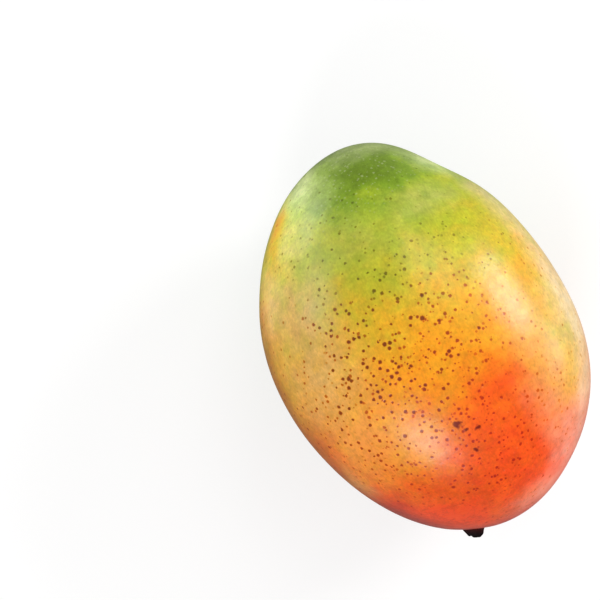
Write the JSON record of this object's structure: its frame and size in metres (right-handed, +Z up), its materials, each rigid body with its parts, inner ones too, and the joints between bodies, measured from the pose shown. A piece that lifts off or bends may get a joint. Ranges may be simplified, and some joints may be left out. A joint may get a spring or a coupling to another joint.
{
  "type": "mango",
  "caption": "Whole ripe mango lying on one cheek, with a short woody stub of its stem at the fuller end.",
  "frame": {"origin": "on the resting surface, under the middle of the whole fruit and its stub", "axes": "+Z up through the cheeks, the thin way of the fruit; +Y towards the tip, with the stem end at -Y; +X towards the fuller side"},
  "size_m": [0.0934, 0.126, 0.0824],
  "materials": {
    "skin": "smooth waxy fruit skin, green at the tip through yellow to orange red at the stem end, with small dark brown pores",
    "stem_wood": "dry dark woody stub, rough and broken at its end"
  },
  "bodies": {
    "root": {"fruit": "skin", "stem_stub": "stem_wood"}
  },
  "joints": []
}
